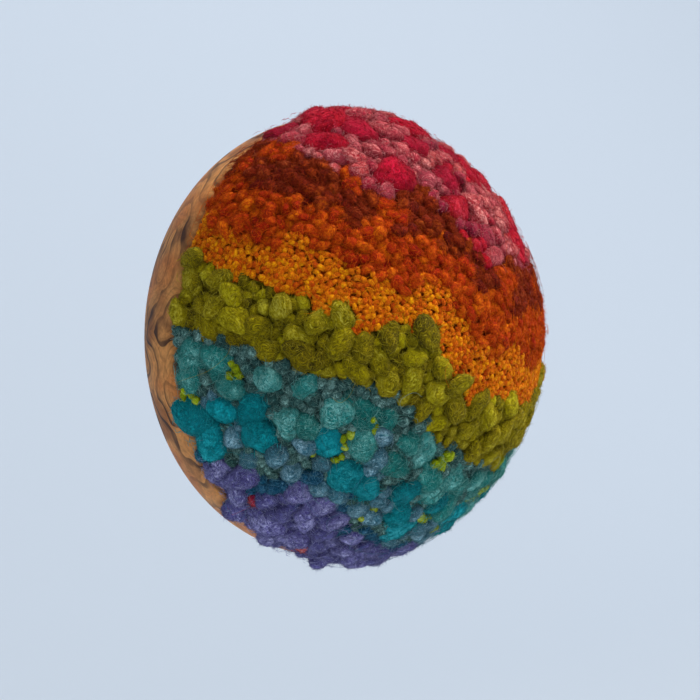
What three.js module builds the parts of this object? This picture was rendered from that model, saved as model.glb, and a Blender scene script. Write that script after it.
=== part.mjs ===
// Punch needle wall piece: a dome of looped wool yarn set in a small turned wooden bowl.
// Millimetres, +Z up. The bowl's foot lies on the plane y = 0 and the dome faces -Y.

import * as THREE from 'three';

// Bowl, turned in one piece from olive wood
const RIM_RADIUS = 48;
const BOWL_DEPTH = 27; // from the foot to the top of the rim
const WALL_THICKNESS = 5.5;
const FLOOR_THICKNESS = 7;
const CURVE_DEPTH = 29.3; // below the rim, where the outer curve would close if there were no foot
const CURVE_POWER = 2.38; // 2 would be an ellipse, and more is fuller towards the foot
const RIM_ROUND = 2.2;
const BOWL_TURN_STEPS = 72;
const OUTER_CURVE_STEPS = 12;
const INNER_CURVE_STEPS = 9;
const ROUND_STEPS = 3;

// Pad, a filled dome whose loops reach past the rim
const PILE_RADIUS = 50;
const DOME_HEIGHT = 41; // from the widest ring of loops to the tips at the crown
const EDGE_RISE = 1.5; // from the rim's plane up to the widest ring of loops
const DOME_POWER = 1.72; // under 2, so the crown is a little pointed
const CROWN_ROUND = 4;
const PILE_DIP = 1.3; // the short loops lie this far under the tips of the large ones
const EDGE_LAP = 1; // the pile's edge hangs this far below the rim's plane
const EDGE_TUCK = 0.8; // and is drawn in by this much there
const LIP_RADIUS = 48.35; // but stays clear of the rim
const FIT_GAP = 0.3; // between the pad and the bowl
const DOME_RINGS = 36;

// The dome is hand stretched, so its flank is a little fuller on some sides.
// Each row adds a wave around the dome: how many lobes, its share of the radius, where it is fullest.
const FULLNESS = [
  { lobes: 1, share: 0.024, fullestAtDegrees: 90 },
  { lobes: 2, share: 0.03, fullestAtDegrees: 115 },
  { lobes: 3, share: 0.022, fullestAtDegrees: 0 },
];

// The yarns lie in wavy stripes. A stripe coordinate is measured along STRIPE_AXIS from the rim's centre.
const STRIPE_AXIS = new THREE.Vector3(0.36, -0.345, 0.866).normalize();
const WAVE_AXIS = new THREE.Vector3(0.923, 0, -0.384).normalize();
const WAVES = [
  { height: 3.2, spacing: 62, shift: 0.3 },
  { height: 1.5, spacing: 27, shift: 1.4 },
];

// Large loops that stand out of the pile, the largest first, so that smaller ones fill in between.
// from and to are stripe coordinates, radius is half the width, length is how many widths long a loop is.
const LARGE_LOOPS = [
  { from: 36, to: 54, radius: 4.0, length: 1.25, count: 24, raise: 1 }, // raspberry
  { from: -31, to: -19, radius: 3.5, length: 1.15, count: 18, raise: 1 }, // turquoise
  { from: -22, to: -11, radius: 2.8, length: 1.1, count: 34, raise: 0.9 }, // sea green
  { from: -6, to: 6, radius: 2.1, length: 1.45, count: 60, raise: 0.8 }, // olive
  { from: -54, to: -35, radius: 2.5, length: 1.1, count: 56, raise: 0.9 }, // violet
  { from: 26, to: 34, radius: 2.8, length: 1.2, count: 40, raise: 0.6 }, // rust
  { from: 17, to: 26, radius: 2.8, length: 1.2, count: 40, raise: 0.6 }, // orange
  { from: -35, to: -30, radius: 2.4, length: 1.2, count: 20, raise: 0.6 }, // deep blue
  { from: 32, to: 54, radius: 2.0, length: 1.15, count: 70, raise: 0.9 }, // pink
  { from: -34, to: -18, radius: 2.0, length: 1.05, count: 36, raise: 0.9 }, // dusty blue
];
const TRIES_PER_LOOP = 160;
const SIZE_SPREAD = 0.3; // loops of one yarn differ in size by this share
const CROWDING = 0.86; // neighbours squeeze together to this share of their widths
const BORDER_MIX = 3; // a stripe's border wanders by this much from loop to loop
const FIRST_DRAW = 20251;

const bowlMaterial = new THREE.MeshStandardMaterial({ color: 0x9a6a3f, roughness: 0.45, metalness: 0 });
const yarnMaterial = new THREE.MeshStandardMaterial({ color: 0x8a3a3c, roughness: 0.95, metalness: 0 });

// The bowl's curves are superellipses. share runs from 0 at the rim's plane to 1 on the axis.
function bowlCurve(radius, depth, share) {
  const angle = share * Math.PI / 2;
  const bend = 2 / CURVE_POWER;
  return {
    radius: radius * Math.max(Math.cos(angle), 0) ** bend,
    below: depth * Math.sin(angle) ** bend,
  };
}

function shareAtDepth(below, depth) {
  return Math.asin((below / depth) ** (CURVE_POWER / 2)) / (Math.PI / 2);
}

function mix(start, end, share) {
  return start + (end - start) * share;
}

// Half section from the foot's centre, up the outside, over the rounded rim and down the inside.
function bowlProfile() {
  const innerRadius = RIM_RADIUS - WALL_THICKNESS;
  const innerDepth = BOWL_DEPTH - FLOOR_THICKNESS;
  const profile = [new THREE.Vector2(0, 0)];
  const addPoint = (radius, below) => profile.push(new THREE.Vector2(radius, BOWL_DEPTH - below));

  const footShare = shareAtDepth(BOWL_DEPTH, CURVE_DEPTH);
  const outerShare = shareAtDepth(RIM_ROUND, CURVE_DEPTH);
  for (let step = 0; step <= OUTER_CURVE_STEPS; step++) {
    const point = bowlCurve(RIM_RADIUS, CURVE_DEPTH, mix(footShare, outerShare, step / OUTER_CURVE_STEPS));
    addPoint(point.radius, point.below);
  }

  const roundedEdge = (centreRadius, startDegrees, endDegrees) => {
    for (let step = 1; step <= ROUND_STEPS; step++) {
      const angle = THREE.MathUtils.degToRad(mix(startDegrees, endDegrees, step / ROUND_STEPS));
      addPoint(centreRadius + RIM_ROUND * Math.cos(angle), RIM_ROUND * (1 - Math.sin(angle)));
    }
  };
  roundedEdge(RIM_RADIUS - RIM_ROUND, 0, 90);
  addPoint(innerRadius + RIM_ROUND, 0);
  roundedEdge(innerRadius + RIM_ROUND, 90, 180);

  const innerShare = shareAtDepth(RIM_ROUND, innerDepth);
  for (let step = 1; step <= INNER_CURVE_STEPS; step++) {
    const point = bowlCurve(innerRadius, innerDepth, mix(innerShare, 1, step / INNER_CURVE_STEPS));
    addPoint(point.radius, point.below);
  }
  return profile;
}

function makeBowl() {
  const geometry = new THREE.LatheGeometry(bowlProfile(), BOWL_TURN_STEPS);
  geometry.rotateX(Math.PI); // the turning axis points from the foot to the crown
  const bowl = new THREE.Mesh(geometry, bowlMaterial);
  bowl.name = 'bowl';
  return bowl;
}

// A point on the surface that the tips of the loops reach.
// lean is 0 at the crown and a right angle at the widest ring, and turn goes around the dome.
function tipPoint(lean, turn) {
  const radius = PILE_RADIUS * Math.sin(lean);
  const soften = (length) => Math.hypot(length, CROWN_ROUND) - CROWN_ROUND;
  const outward = soften(radius) / soften(PILE_RADIUS);
  const rise = Math.max(1 - outward ** DOME_POWER, 0) ** (1 / DOME_POWER);
  let fullness = 0;
  for (const wave of FULLNESS) {
    const fullestAt = THREE.MathUtils.degToRad(wave.fullestAtDegrees);
    fullness += wave.share * Math.cos(wave.lobes * (turn - fullestAt));
  }
  const fullRadius = radius * (1 + fullness * Math.sin(Math.PI * rise));
  return new THREE.Vector3(
    fullRadius * Math.cos(turn),
    -(BOWL_DEPTH + EDGE_RISE + DOME_HEIGHT * rise),
    fullRadius * Math.sin(turn),
  );
}

// The outward direction of the dome, and one direction along it.
function tipFrame(lean, turn) {
  const step = 0.002;
  const safeLean = THREE.MathUtils.clamp(lean, 2 * step, Math.PI / 2 - 2 * step);
  const down = tipPoint(safeLean + step, turn).sub(tipPoint(safeLean - step, turn));
  const around = tipPoint(safeLean, turn + step).sub(tipPoint(safeLean, turn - step)).normalize();
  const normal = down.cross(around).normalize();
  return { normal, around };
}

function stripeCoordinate(point) {
  const fromRim = point.clone().setY(point.y + BOWL_DEPTH);
  const along = fromRim.dot(WAVE_AXIS);
  let coordinate = fromRim.dot(STRIPE_AXIS);
  for (const wave of WAVES) {
    coordinate += wave.height * Math.sin(2 * Math.PI * along / wave.spacing + wave.shift);
  }
  return coordinate;
}

// A seeded draw of numbers from 0 to 1, the same on every run.
function makeDraw(seed) {
  let state = seed;
  return () => {
    state = (Math.imul(1664525, state) + 1013904223) >>> 0;
    return state / 2 ** 32;
  };
}

// Throws each yarn's loops at its stripe and keeps those that find room.
function placeLargeLoops() {
  const draw = makeDraw(FIRST_DRAW);
  const placed = [];
  for (const yarn of LARGE_LOOPS) {
    let left = yarn.count;
    for (let attempt = 0; attempt < yarn.count * TRIES_PER_LOOP; attempt++) {
      const lean = Math.acos(1 - draw());
      const turn = 2 * Math.PI * draw();
      const radius = yarn.radius * (1 + SIZE_SPREAD * (draw() - 0.5));
      const heading = Math.PI * draw();
      const centre = tipPoint(lean, turn);
      const coordinate = stripeCoordinate(centre) + BORDER_MIX * (draw() - 0.5);
      const reach = radius * Math.sqrt(yarn.length);
      const isClear = (other) => centre.distanceTo(other.centre) > CROWDING * (reach + other.reach);
      if (left === 0 || coordinate < yarn.from || coordinate > yarn.to || !placed.every(isClear)) continue;
      const { normal, around } = tipFrame(lean, turn);
      const { length, raise } = yarn;
      placed.push({ centre, normal, around, radius, reach, heading, length, raise });
      left -= 1;
    }
  }
  return placed;
}

// How far a large loop lifts the pile here: 1 on its top, 0 outside it.
function lift(point, loop) {
  const offset = point.clone().sub(loop.centre);
  if (offset.length() > loop.radius * loop.length) return 0;
  const across = new THREE.Vector3().crossVectors(loop.normal, loop.around);
  const x = offset.dot(loop.around);
  const y = offset.dot(across);
  const alongLoop = (x * Math.cos(loop.heading) + y * Math.sin(loop.heading)) / (loop.radius * loop.length);
  const acrossLoop = (y * Math.cos(loop.heading) - x * Math.sin(loop.heading)) / loop.radius;
  return loop.raise * Math.sqrt(Math.max(1 - alongLoop ** 2 - acrossLoop ** 2, 0));
}

// One ring of the dome, with the large loops raised in its points.
function domeRing(lean, count, loops) {
  const ring = [];
  for (let index = 0; index < count; index++) {
    const turn = 2 * Math.PI * index / count;
    const point = tipPoint(lean, turn);
    const highest = Math.max(...loops.map((loop) => lift(point, loop)));
    ring.push(point.addScaledVector(tipFrame(lean, turn).normal, PILE_DIP * (highest - 1)));
  }
  return ring;
}

// One level ring of the pad's underside. radiusAt gives its radius at each point.
function levelRing(count, radiusAt, below) {
  const ring = [];
  for (let index = 0; index < count; index++) {
    const turn = 2 * Math.PI * index / count;
    const radius = radiusAt(index);
    ring.push(new THREE.Vector3(radius * Math.cos(turn), below - BOWL_DEPTH, radius * Math.sin(turn)));
  }
  return ring;
}

// Joins rings of points, each ring to the next, into one closed surface. A ring of one point is a pole.
function solidFromRings(rings) {
  const positions = [];
  const faces = [];
  let ringStart = 0;
  for (const ring of rings) {
    for (const point of ring) positions.push(point.x, point.y, point.z);
  }
  for (let ringIndex = 0; ringIndex + 1 < rings.length; ringIndex++) {
    const here = rings[ringIndex].length;
    const next = rings[ringIndex + 1].length;
    const nextStart = ringStart + here;
    let i = 0;
    let j = 0;
    while (i < here || j < next) {
      const a = ringStart + i % here;
      const b = nextStart + j % next;
      const stepNext = i === here || (j < next && (j + 1) / next <= (i + 1) / here);
      if (stepNext) {
        if (next > 1) faces.push(a, b, nextStart + (j + 1) % next);
        j += 1;
      } else {
        if (here > 1) faces.push(a, b, ringStart + (i + 1) % here);
        i += 1;
      }
    }
    ringStart = nextStart;
  }
  const geometry = new THREE.BufferGeometry();
  geometry.setAttribute('position', new THREE.Float32BufferAttribute(positions, 3));
  geometry.setIndex(faces);
  geometry.computeVertexNormals();
  return geometry;
}

function makePad() {
  const loops = placeLargeLoops();
  const crown = tipPoint(0, 0);
  crown.y += PILE_DIP;
  const rings = [[crown]];
  for (let ring = 1; ring <= DOME_RINGS; ring++) {
    rings.push(domeRing(Math.PI / 2 * ring / DOME_RINGS, 6 * ring, loops));
  }

  // The pile's edge laps over the rim's rounded corner and turns in under itself.
  const edge = rings[DOME_RINGS];
  const tucked = edge.map((point) => Math.max(Math.hypot(point.x, point.z) - EDGE_TUCK, LIP_RADIUS));
  rings.push(levelRing(edge.length, (index) => tucked[index], EDGE_LAP));
  const lipRound = RIM_ROUND + FIT_GAP;
  for (let step = 2; step <= ROUND_STEPS; step++) {
    const angle = Math.PI / 2 * step / ROUND_STEPS;
    const radius = RIM_RADIUS - RIM_ROUND + lipRound * Math.cos(angle);
    rings.push(levelRing(edge.length, () => radius, RIM_ROUND - lipRound * Math.sin(angle)));
  }

  // The filled underside follows the bowl's inside.
  const plugRadius = RIM_RADIUS - WALL_THICKNESS - FIT_GAP;
  const plugDepth = BOWL_DEPTH - FLOOR_THICKNESS - FIT_GAP;
  rings.push(levelRing(BOWL_TURN_STEPS, () => plugRadius, -FIT_GAP));
  const firstShare = shareAtDepth(RIM_ROUND, plugDepth);
  for (let step = 0; step < INNER_CURVE_STEPS; step++) {
    const point = bowlCurve(plugRadius, plugDepth, mix(firstShare, 1, step / INNER_CURVE_STEPS));
    rings.push(levelRing(BOWL_TURN_STEPS, () => point.radius, point.below));
  }
  rings.push([new THREE.Vector3(0, plugDepth - BOWL_DEPTH, 0)]);

  const pad = new THREE.Mesh(solidFromRings(rings), yarnMaterial);
  pad.name = 'pad';
  return pad;
}

const group = new THREE.Group();
group.name = 'punch_needle_wall_piece';
group.add(makeBowl());
group.add(makePad());

export default group;
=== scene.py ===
# %% [markdown]
# # A punch needle wall piece in a wooden bowl
#
# The real object is a small decoration. A maker punches loops of wool through a cloth, stretches
# the cloth over a soft filling, and sets that dome into a bowl turned from olive wood.
# The bowl's flat foot lies on the plane y = 0, the dome faces along -Y, and +Z is up.
#
# The imported model gives the fixed frame: a bowl and a pad at their real size. Everything is made around
# it, in metres. The first cell keeps the frame's box, to set the finished model's box beside it at the end.

import math
from collections import namedtuple
from functools import partial
from types import SimpleNamespace

import bpy
import numpy as np
from mathutils import Matrix, Vector


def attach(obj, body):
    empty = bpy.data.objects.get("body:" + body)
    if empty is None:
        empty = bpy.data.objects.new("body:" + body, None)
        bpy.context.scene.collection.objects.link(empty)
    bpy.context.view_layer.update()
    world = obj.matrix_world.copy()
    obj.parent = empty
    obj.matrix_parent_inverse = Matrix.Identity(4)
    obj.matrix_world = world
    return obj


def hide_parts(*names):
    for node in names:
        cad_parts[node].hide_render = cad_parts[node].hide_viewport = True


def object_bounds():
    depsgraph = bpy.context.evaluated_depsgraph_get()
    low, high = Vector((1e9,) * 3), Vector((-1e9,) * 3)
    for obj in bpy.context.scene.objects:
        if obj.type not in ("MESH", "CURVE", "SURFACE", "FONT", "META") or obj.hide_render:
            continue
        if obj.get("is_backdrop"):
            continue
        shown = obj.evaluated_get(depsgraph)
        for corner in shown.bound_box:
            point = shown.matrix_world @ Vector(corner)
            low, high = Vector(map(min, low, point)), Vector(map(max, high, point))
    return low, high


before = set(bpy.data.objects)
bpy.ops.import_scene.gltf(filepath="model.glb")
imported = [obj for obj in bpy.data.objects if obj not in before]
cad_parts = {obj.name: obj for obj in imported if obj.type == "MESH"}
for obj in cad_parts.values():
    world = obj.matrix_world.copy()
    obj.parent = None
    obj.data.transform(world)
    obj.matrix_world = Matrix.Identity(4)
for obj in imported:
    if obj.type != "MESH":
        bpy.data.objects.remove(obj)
cad_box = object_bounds()
MM = 0.001
print("CAD box in mm:", [[round(side / MM, 1) for side in corner] for corner in cad_box])

# %% [markdown]
# ## Where the photograph was taken from
#
# The bowl's round rim shows as an ellipse, and the ellipse's width and tilt give the direction of view:
# 44 degrees from the left and 4 from above, with the camera tilted by 4 degrees. A Track To constraint
# could aim a camera, but it can't hold the tilt, so the camera's three axes are put into its matrix.

# %% Camera
RIM_CENTRE = Vector((0, -27 * MM, 0))
AZIMUTH = math.radians(-44)
ELEVATION = math.radians(4)
TILT = math.radians(4.1)
CAMERA_DISTANCE = 654 * MM
LENS = 154.3
PICTURE_SIDE = 700
RIM_CENTRE_IN_PICTURE = (342, 337)

towards_camera = Vector((
    math.sin(AZIMUTH) * math.cos(ELEVATION),
    -math.cos(AZIMUTH) * math.cos(ELEVATION),
    math.sin(ELEVATION),
))
level_right = Vector((math.cos(AZIMUTH), math.sin(AZIMUTH), 0))
level_up = towards_camera.cross(level_right)
camera_right = level_right * math.cos(TILT) - level_up * math.sin(TILT)
camera_up = level_right * math.sin(TILT) + level_up * math.cos(TILT)

camera_data = bpy.data.cameras.new("camera")
camera_data.lens = LENS
camera_data.sensor_width = 36
camera_data.clip_start = 10 * MM
camera_data.shift_x = (PICTURE_SIDE / 2 - RIM_CENTRE_IN_PICTURE[0]) / PICTURE_SIDE
camera_data.shift_y = (RIM_CENTRE_IN_PICTURE[1] - PICTURE_SIDE / 2) / PICTURE_SIDE
camera = bpy.data.objects.new("camera", camera_data)
bpy.context.collection.objects.link(camera)
camera_place = RIM_CENTRE + towards_camera * CAMERA_DISTANCE
camera_axes = Matrix((camera_right, camera_up, towards_camera)).transposed().to_4x4()
camera.matrix_world = Matrix.Translation(camera_place) @ camera_axes
bpy.context.scene.camera = camera
print("camera at", [round(side, 3) for side in camera_place])

# %% [markdown]
# ## Colours and nodes
#
# Colours are picked as hex values, as a paint chart gives them. Shaders work with linear light, so one
# function turns hex into linear values. A second small function adds a shader node with its settings
# and links, so that a material reads as a list of what it is made of.

# %% Helpers for materials
def colour(hex_value):
    """An sRGB hex value such as "#8a5c46" as linear red, green, blue and alpha."""
    shares = [int(hex_value[place:place + 2], 16) / 255 for place in (1, 3, 5)]
    linear = [share / 12.92 if share <= 0.04045 else ((share + 0.055) / 1.055) ** 2.4 for share in shares]
    return (*linear, 1)


def add_node(tree, kind, inputs=(), stops=(), out=0, **settings):
    """Adds a shader node and returns one of its outputs.

    inputs gives sockets a value or another node's output, and stops fills a colour ramp.
    """
    node = tree.nodes.new("ShaderNode" + kind)
    for name, value in settings.items():
        setattr(node, name, value)
    for index, (place, value) in enumerate(stops):
        elements = node.color_ramp.elements
        element = elements[index] if index < 2 else elements.new(place)
        element.position, element.color = place, value
    for socket, value in dict(inputs).items():
        if isinstance(value, bpy.types.NodeSocket):
            tree.links.new(value, node.inputs[socket])
        else:
            node.inputs[socket].default_value = value
    return node.outputs[out]


def new_material(name, **surface):
    """A material with only its shader, whose constant values are set on its own sockets."""
    material = bpy.data.materials.new(name)
    material.use_nodes = True
    shader = material.node_tree.nodes["Principled BSDF"]
    for socket, value in surface.items():
        shader.inputs[socket.replace("_", " ")].default_value = value
    return material, material.node_tree, shader


def finish_surface(shader, shown, height, strength, distance):
    """Gives a shader the colour to show, and a bump that follows a height."""
    tree = shader.id_data
    bump = add_node(tree, "Bump", {"Height": height, "Strength": strength, "Distance": distance})
    tree.links.new(shown, shader.inputs["Base Color"])
    tree.links.new(bump, shader.inputs["Normal"])


print("white in linear light:", colour("#ffffff"))

# %% [markdown]
# ## A plain studio
#
# The piece hangs in front of one pale sweep: a floor that curves up into a backdrop. A plane is added
# for the floor, its far edge is extruded up, and the fold is rounded with a bevel, so that no line shows
# behind the piece. The sweep stands well away, because the piece is looked at from behind as well.
# Soft daylight from above on the right is a large area light, and the pale world fills the shadows.

# %% Floor and backdrop
FLOOR_BELOW = 400 * MM
FLOOR_SIDE = 9
BACKDROP_AT = 2.6
BACKDROP_HEIGHT = 4
SWEEP_ROUND = 1.4
CLOSE = 0.01 * MM  # places nearer than this are the same place


def only(piece, kind, wanted):
    """In edit mode, selects just the vertices, edges or faces for which wanted says yes."""
    bpy.ops.mesh.select_mode(type=kind)
    bpy.ops.mesh.select_all(action="DESELECT")
    bpy.ops.object.mode_set(mode="OBJECT")
    items = {"VERT": piece.data.vertices, "EDGE": piece.data.edges, "FACE": piece.data.polygons}[kind]
    for item in items:
        item.select = wanted(item)
    bpy.ops.object.mode_set(mode="EDIT")


def ends(piece, edge):
    """Where the two ends of an edge are."""
    return [piece.data.vertices[end].co for end in edge.vertices]


def start_piece(name, add_primitive, **settings):
    """Adds a primitive on its own, brings its size and place into its mesh, and goes into edit mode."""
    bpy.ops.object.select_all(action="DESELECT")
    add_primitive(**settings)
    piece = bpy.context.object
    piece.name = name
    bpy.ops.object.transform_apply(location=True, rotation=True, scale=True)
    bpy.ops.object.mode_set(mode="EDIT")
    bpy.ops.mesh.select_all(action="SELECT")
    return piece


sweep = start_piece("studio_sweep", bpy.ops.mesh.primitive_plane_add, size=FLOOR_SIDE,
                    location=(0, BACKDROP_AT - FLOOR_SIDE / 2, -FLOOR_BELOW))
only(sweep, "EDGE", lambda edge: all(end.y > BACKDROP_AT - CLOSE for end in ends(sweep, edge)))
bpy.ops.mesh.extrude_region_move(TRANSFORM_OT_translate={"value": (0, 0, BACKDROP_HEIGHT)})
only(sweep, "EDGE", lambda edge: all(
    end.y > BACKDROP_AT - CLOSE and end.z < CLOSE - FLOOR_BELOW for end in ends(sweep, edge)))
bpy.ops.mesh.bevel(offset=SWEEP_ROUND, segments=16)
bpy.ops.object.mode_set(mode="OBJECT")
bpy.ops.object.shade_smooth()
sweep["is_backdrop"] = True

# Matt studio paper: even and a little cool
paper, _, paper_shader = new_material("matt_paper", Roughness=0.95)
paper_shader.inputs["Base Color"].default_value = colour("#dfe6ee")
sweep.data.materials.append(paper)
print("sweep faces:", len(sweep.data.polygons))

# %% Lights
def add_light(name, watts, side, place, aim, hex_value):
    """A square area light that faces a place."""
    light_data = bpy.data.lights.new(name, "AREA")
    light_data.energy = watts
    light_data.size = side
    light_data.color = colour(hex_value)[:3]
    light = bpy.data.objects.new(name, light_data)
    bpy.context.collection.objects.link(light)
    light.location = place
    light.rotation_euler = (Vector(place) - Vector(aim)).to_track_quat("Z", "Y").to_euler()


add_light("window", watts=14, side=0.6, place=(0.42, -0.42, 0.85), aim=RIM_CENTRE, hex_value="#fffaf2")
add_light("fill", watts=1.2, side=1.0, place=(-1.0, -0.7, 0.15), aim=RIM_CENTRE, hex_value="#eef4ff")
add_light("backdrop", watts=26, side=1.6, place=(2.4, 0.9, 2.2), aim=(2.7, BACKDROP_AT, 0.3),
          hex_value="#fafcff")
world = bpy.data.worlds.new("pale_room")
world.use_nodes = True
room_light = world.node_tree.nodes["Background"].inputs
room_light["Color"].default_value = colour("#dbe4ee")
room_light["Strength"].default_value = 0.65
bpy.context.scene.world = world
bpy.context.scene.view_settings.view_transform = "Standard"
print("lights:", [light.name for light in bpy.data.lights])

# %% [markdown]
# ## The bowl
#
# The bowl is turned on a lathe from one block, so every cut around its axis is a circle. Its outside is
# a superellipse, fuller than a ball, down to a flat foot, and its rim is rounded over.
# A lathe piece could be a profile that is spun, but a spin leaves a seam and two poles to merge. Here a
# round disc is extruded along the axis, ring by ring, and each new ring is resized to the profile. The
# disc is carried along as the last face, so the solid is closed at every step.

# %% The bowl's profile
RIM_RADIUS = 48 * MM
BOWL_DEPTH = 27 * MM
WALL_THICKNESS = 5.5 * MM
FLOOR_THICKNESS = 7 * MM
CURVE_DEPTH = 29.3 * MM
CURVE_POWER = 2.38
RIM_ROUND = 2.2 * MM
FLOOR_SHARE = 0.9  # the curve stops here, short of the axis, and one flat face closes the floor
TURN_STEPS = 144


def bowl_curve(radius, depth, start, end, steps):
    """Points on a superellipse: radius and depth below the rim. Shares run from 0 (rim) to 1 (axis)."""
    bend = 2 / CURVE_POWER
    for angle in np.linspace(start, end, steps) * math.pi / 2:
        yield radius * max(math.cos(angle), 0) ** bend, depth * math.sin(angle) ** bend


def share_at(below, depth):
    return math.asin((below / depth) ** (CURVE_POWER / 2)) / (math.pi / 2)


def rounding(centre_radius, start, end, steps=6):
    """Points over the rounded rim, from one angle in degrees to another."""
    for angle in np.radians(np.linspace(start, end, steps)):
        yield centre_radius + RIM_ROUND * math.cos(angle), RIM_ROUND * (1 - math.sin(angle))


def bowl_profile():
    """Radius and distance from the foot: up the outside, over the rim and down the inside."""
    inner_radius = RIM_RADIUS - WALL_THICKNESS
    inner_depth = BOWL_DEPTH - FLOOR_THICKNESS
    foot, top = share_at(BOWL_DEPTH, CURVE_DEPTH), share_at(RIM_ROUND, CURVE_DEPTH)
    points = [
        *bowl_curve(RIM_RADIUS, CURVE_DEPTH, foot, top, steps=24),
        *rounding(RIM_RADIUS - RIM_ROUND, 15, 90),
        *rounding(inner_radius + RIM_ROUND, 90, 165),
        *bowl_curve(inner_radius, inner_depth, share_at(RIM_ROUND, inner_depth), FLOOR_SHARE, steps=10),
    ]
    return [(radius, BOWL_DEPTH - below) for radius, below in points]


FOOT_RADIUS = bowl_profile()[0][0]
print("bowl rings:", len(bowl_profile()), "foot across in mm:", round(2 * FOOT_RADIUS / MM, 1))

# %% Draw the bowl out of a disc
def draw_out(name, profile):
    """A closed round piece along Y: a disc, extruded and resized to each (radius, distance from the foot)."""
    radius, out = profile[0]
    piece = start_piece(name, bpy.ops.mesh.primitive_circle_add, vertices=TURN_STEPS, radius=radius,
                        fill_type="NGON", location=(0, -out, 0), rotation=(math.pi / 2, 0, 0))
    for next_radius, next_out in profile[1:]:
        bpy.ops.mesh.extrude_region_move(TRANSFORM_OT_translate={"value": (0, out - next_out, 0)})
        scale = next_radius / radius
        bpy.ops.transform.resize(value=(scale, 1, scale), center_override=(0, -next_out, 0))
        radius, out = next_radius, next_out
    bpy.ops.mesh.poke()
    bpy.ops.mesh.select_all(action="SELECT")
    bpy.ops.mesh.normals_make_consistent(inside=False)
    bpy.ops.object.mode_set(mode="OBJECT")
    return piece


bowl = draw_out("olive_wood_bowl", bowl_profile())

# The foot is faced flat, so its edge stays crisp
bpy.ops.object.mode_set(mode="EDIT")
only(bowl, "EDGE", lambda edge: all(
    abs(end.y) < CLOSE and math.hypot(end.x, end.z) > FOOT_RADIUS - CLOSE for end in ends(bowl, edge)))
bpy.ops.mesh.mark_sharp()
bpy.ops.object.mode_set(mode="OBJECT")
bpy.ops.object.shade_smooth_by_angle(angle=math.radians(40), keep_sharp_edges=True)
print("bowl faces:", len(bowl.data.polygons))

# %% [markdown]
# ## Olive wood
#
# Olive wood is caramel coloured with dark brown lines that wander, close in and open again, because the
# tree grows in twists. A Wave texture would give rings, but plain rings look like pine. The lines of
# olive wood are more like the height lines on a map of hills. So a slow noise stands for the hills, it is
# multiplied up, and its fraction gives one line for each step in height. A line is sharp on one side
# and fades out on the other, as the end of a year's growth does. Brown clouds and fine streaks lie
# between. The bowl was sanded and oiled, so the wood has a soft satin shine.

# %% Olive wood, turned and oiled
def olive_wood():
    material, tree, shader = new_material(
        "olive_wood_oiled", Roughness=0.55, IOR=1.45, Specular_IOR_Level=0.2)
    node = partial(add_node, tree)
    place = node("TexCoord", out="Object")

    # The grain runs across the bowl along X. Twisted growth makes it wander by a few millimetres over 12 mm
    grain = node("VectorMath", {0: place, 1: (0.45, 1, 1)}, operation="MULTIPLY")
    push = node("TexNoise", {"Vector": grain, "Scale": 1 / (12 * MM), "Detail": 2}, out="Color")
    moved = node("VectorMath", {0: push, "Scale": 9 * MM}, operation="SCALE")
    pushed = node("VectorMath", {0: grain, 1: moved}, operation="ADD")

    # Height lines about 3 mm apart, with fainter ones between them
    hills = node("TexNoise", {"Vector": pushed, "Scale": 1 / (22 * MM), "Detail": 2, "Roughness": 0.4})
    crowd = node("TexNoise", {"Vector": place, "Scale": 1 / (12 * MM), "Detail": 2, "Roughness": 0.6})
    crowded = node("MapRange", {
        "Value": crowd, "From Min": 0.4, "From Max": 0.58, "To Min": 0.4, "To Max": 1})
    dark = None
    for lines_per_hill, strength in ((13, 1), (41, 0.4)):
        height = node("Math", {0: hills, 1: lines_per_hill}, operation="MULTIPLY")
        step = node("Math", {0: height}, operation="FRACT")
        line = node("ValToRGB", {"Fac": step}, stops=[(at, (grey, grey, grey, 1)) for at, grey in (
            (0.0, 1), (0.16, 0.9), (0.26, 0.3), (0.6, 0.02), (0.97, 0.05), (1.0, 1))])
        own = node("Math", {0: line, 1: strength}, operation="MULTIPLY")
        dark = node("Math", {0: dark, 1: own}, operation="MAXIMUM") if dark else own
    dark = node("Math", {0: dark, 1: crowded}, operation="MULTIPLY")

    cloud = node("TexNoise", {"Vector": pushed, "Scale": 1 / (9 * MM), "Detail": 4})
    cloudy = node("MapRange", {"Value": cloud, "From Min": 0.5, "From Max": 0.66, "To Max": 0.8})
    cloud_dark = node("Math", {0: cloudy, 1: crowded}, operation="MULTIPLY")
    shown = node("ValToRGB", {"Fac": crowd}, stops=[
        (0.35, colour("#c4763a")), (0.5, colour("#d4904e")), (0.65, colour("#a2622e"))])
    for share, brown in ((cloud_dark, "#6a4024"), (dark, "#3a2015")):
        shown = node("Mix", {"Factor": share, "A": shown, "B": colour(brown)}, out="Result", data_type="RGBA")

    # Fine streaks, drawn about 0.5 mm wide, and short dark pores, both along the grain
    stretched = node("Mapping", {"Vector": pushed, "Scale": (0.25, 1, 1)})
    streaks = node("TexNoise", {"Vector": stretched, "Scale": 1 / (0.9 * MM), "Detail": 2})
    pore = node("MapRange", {
        "Value": streaks, "From Min": 0.35, "From Max": 0.65, "To Min": 0.8, "To Max": 1.12})
    grained = node("VectorMath", {0: shown, "Scale": pore}, operation="SCALE")
    finish_surface(shader, grained, streaks, strength=0.25, distance=0.05 * MM)
    return material


bowl.data.materials.append(olive_wood())
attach(bowl, "root")
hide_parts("bowl")
print("nodes in the wood:", len(bowl.data.materials[0].node_tree.nodes))

# %% [markdown]
# ## The shape of the dome
#
# The filled cloth is a dome, a little pointed at its crown and fuller on some sides, as hand stretched
# work is. One formula gives the surface that the tips of the loops reach. lean is 0 at the crown and a
# right angle at the widest ring, and turn goes around. Everything made of wool is placed with it, so
# loops, filling and loose fibres all agree.

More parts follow.
